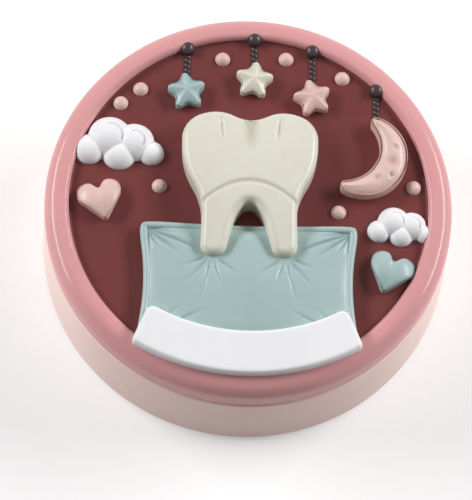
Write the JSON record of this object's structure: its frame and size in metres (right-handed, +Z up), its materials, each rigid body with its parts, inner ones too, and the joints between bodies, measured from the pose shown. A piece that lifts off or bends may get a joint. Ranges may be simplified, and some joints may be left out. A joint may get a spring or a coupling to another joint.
{
  "type": "tooth keepsake box",
  "caption": "Round keepsake box for milk teeth: a hollow cup under a lift-off lid with a raised rim, a sunk field, relief motifs and a bare curved plaque.",
  "frame": {"origin": "centre of the foot ring, on the surface the box stands on", "axes": "+Z up through the lid, +X to the right and -Y to the front, where the plaque is"},
  "size_m": [0.0814, 0.0814, 0.03],
  "materials": {
    "base_pink": "satin painted resin",
    "lid_rose": "satin painted resin",
    "field_maroon": "satin painted resin",
    "white": "satin painted resin",
    "mint": "satin painted resin",
    "cream": "satin painted resin",
    "blush": "satin painted resin",
    "dark_brown": "satin painted resin"
  },
  "bodies": {
    "base": {"base_cup": "base_pink"},
    "lid": {"lid_cap": "lid_rose", "field_plate": "field_maroon", "plaque": "white", "pillow": "mint", "tooth": "cream", "moon": "blush", "cloud_left": "white", "cloud_right": "white", "star_left": "mint", "star_middle": "cream", "star_right": "blush", "heart_left": "blush", "heart_right": "mint", "string_left": "dark_brown", "string_middle": "dark_brown", "string_right": "dark_brown", "string_moon": "dark_brown", "dots": "blush"}
  },
  "joints": [
    {"name": "lid_lift", "type": "slide", "parent": "base", "child": "lid", "axis": [0, 0, 1], "range_m": [0, 0.045]}
  ]
}
